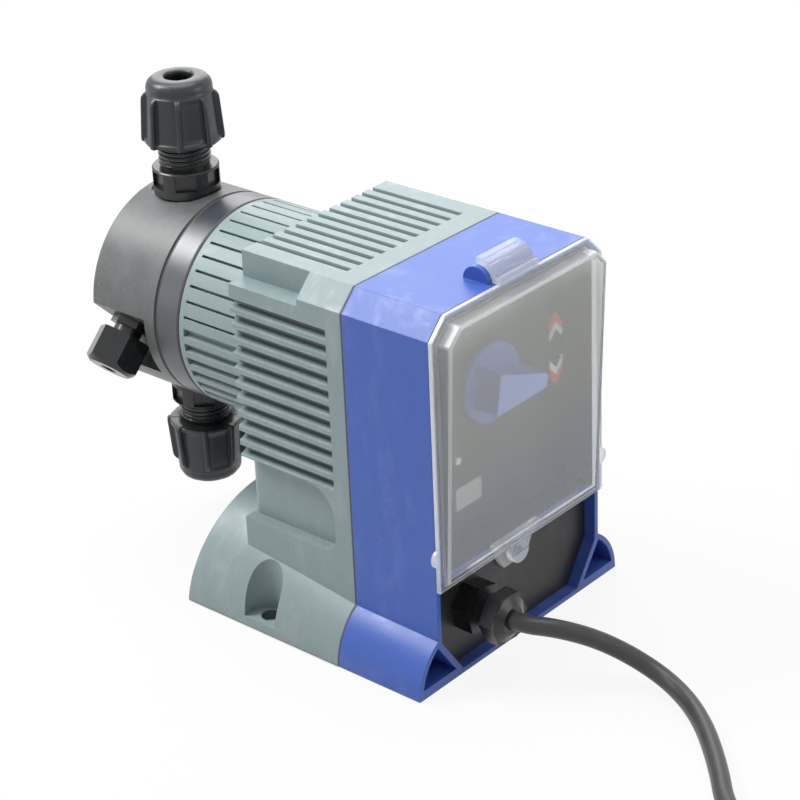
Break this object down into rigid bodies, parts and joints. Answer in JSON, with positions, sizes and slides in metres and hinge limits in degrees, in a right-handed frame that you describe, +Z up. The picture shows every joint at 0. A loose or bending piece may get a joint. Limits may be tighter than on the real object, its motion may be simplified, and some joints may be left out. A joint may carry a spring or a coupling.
{
  "type": "diaphragm metering pump",
  "caption": "Solenoid diaphragm metering pump: finned moulded housing on a foot, clear hinged cover over a stroke knob, round pump head with hose valves above and below.",
  "frame": {"origin": "midway between the two foot holes, on the base plane", "axes": "+Z up, +Y along the drive axis towards the pump head, the operating face looks to -Y"},
  "size_m": [0.1722, 0.5378, 0.2343],
  "materials": {
    "grey_housing": "moulded, fine grain",
    "blue_housing": "moulded, satin",
    "seal_dark": "matt",
    "steel": "satin",
    "panel_black": "fine grain",
    "display": "gloss",
    "lamp": "gloss",
    "key": "satin",
    "board": "satin",
    "module": "matt",
    "clear_lid": "clear moulded plastic",
    "black_plastic": "satin",
    "knob_blue": "satin",
    "iron": "machined",
    "copper": "wound and lacquered",
    "bronze": "machined",
    "ring_blue": "satin",
    "head_grey": "sawn and turned, mottled",
    "nut_grey": "satin",
    "membrane": "smooth",
    "ceramic": "polished",
    "cord_black": "satin",
    "pin_brass": "plated"
  },
  "bodies": {
    "pump": {"rear_housing": "grey_housing", "front_housing": "blue_housing", "housing_gasket": "seal_dark", "housing_screws": "steel", "control_panel": "panel_black", "display_window": "display", "status_lamps": "lamp", "terminal_panel": "panel_black", "circuit_board": "board", "board_standoffs": "steel", "power_module": "module", "spindle_bridge": "iron", "solenoid_yoke": "iron", "yoke_end_plate": "iron", "solenoid_coil": "copper", "return_spring": "steel", "shaft_bush": "bronze", "adapter_ring": "ring_blue", "pump_head": "head_grey", "head_screws": "steel", "diaphragm": "membrane", "delivery_valve_body": "nut_grey", "delivery_seat": "ceramic", "delivery_seal": "seal_dark", "delivery_ferrule": "black_plastic", "suction_valve_body": "nut_grey", "suction_seat": "ceramic", "suction_seal": "seal_dark", "suction_ferrule": "black_plastic", "bleed_valve_body": "nut_grey", "gland_body": "black_plastic", "gland_nut": "black_plastic", "gland_seal": "seal_dark", "gland_locknut": "black_plastic", "power_cord": "cord_black", "cord_coil": "cord_black", "cord_tail": "cord_black", "plug_body": "cord_black", "plug_pins": "pin_brass"},
    "lid": {"lid": "clear_lid"},
    "lid_screw": {"lid_screw": "black_plastic"},
    "stroke_knob": {"stroke_knob": "knob_blue", "stroke_spindle": "steel"},
    "up_key": {"up_key": "key"},
    "down_key": {"down_key": "key"},
    "drive": {"armature": "iron", "drive_shaft": "steel", "diaphragm_retainer": "steel"},
    "suction_ball": {"suction_ball": "ceramic"},
    "delivery_ball": {"delivery_ball": "ceramic"},
    "bleed_knob": {"bleed_knob": "nut_grey"},
    "suction_nut": {"suction_nut": "nut_grey"},
    "delivery_nut": {"delivery_nut": "nut_grey"}
  },
  "joints": [
    {"name": "lid_hinge", "type": "hinge", "parent": "pump", "child": "lid", "pos_m": [0, -0.0898, 0.1835], "axis": [-1, 0, 0], "range_deg": [0, 75]},
    {"name": "lid_screw_turn", "type": "hinge", "parent": "lid", "child": "lid_screw", "pos_m": [0, -0.0956, 0.0445], "axis": [0, -1, 0], "range_deg": [0, 90]},
    {"name": "stroke_knob_turn", "type": "hinge", "parent": "pump", "child": "stroke_knob", "pos_m": [0, -0.081, 0.1268], "axis": [0, -1, 0], "range_deg": [-150, 120]},
    {"name": "up_key_press", "type": "slide", "parent": "pump", "child": "up_key", "axis": [0, 1, 0], "range_m": [0, 0.0006], "stiffness_N_per_m": 300, "springref_m": -0.0006},
    {"name": "down_key_press", "type": "slide", "parent": "pump", "child": "down_key", "axis": [0, 1, 0], "range_m": [0, 0.0006], "stiffness_N_per_m": 300, "springref_m": -0.0006},
    {"name": "stroke", "type": "slide", "parent": "pump", "child": "drive", "axis": [0, 1, 0], "range_m": [0, 0.0015], "stiffness_N_per_m": 4000, "springref_m": -0.001, "deforming": ["return_spring", "diaphragm"]},
    {"name": "suction_ball_lift", "type": "slide", "parent": "pump", "child": "suction_ball", "axis": [0, 0, 1], "range_m": [0, 0.002]},
    {"name": "delivery_ball_lift", "type": "slide", "parent": "pump", "child": "delivery_ball", "axis": [0, 0, 1], "range_m": [0, 0.002]},
    {"name": "bleed_knob_turn", "type": "hinge", "parent": "pump", "child": "bleed_knob", "pos_m": [-0.05339, 0.1044, 0.10948], "axis": [-0.7071, 0, -0.7071], "range_deg": [0, 270]},
    {"name": "suction_nut_turn", "type": "hinge", "parent": "pump", "child": "suction_nut", "pos_m": [0, 0.1028, 0.04], "axis": [0, 0, -1], "continuous": true},
    {"name": "delivery_nut_turn", "type": "hinge", "parent": "pump", "child": "delivery_nut", "pos_m": [0, 0.1028, 0.22], "axis": [0, 0, 1], "continuous": true}
  ]
}
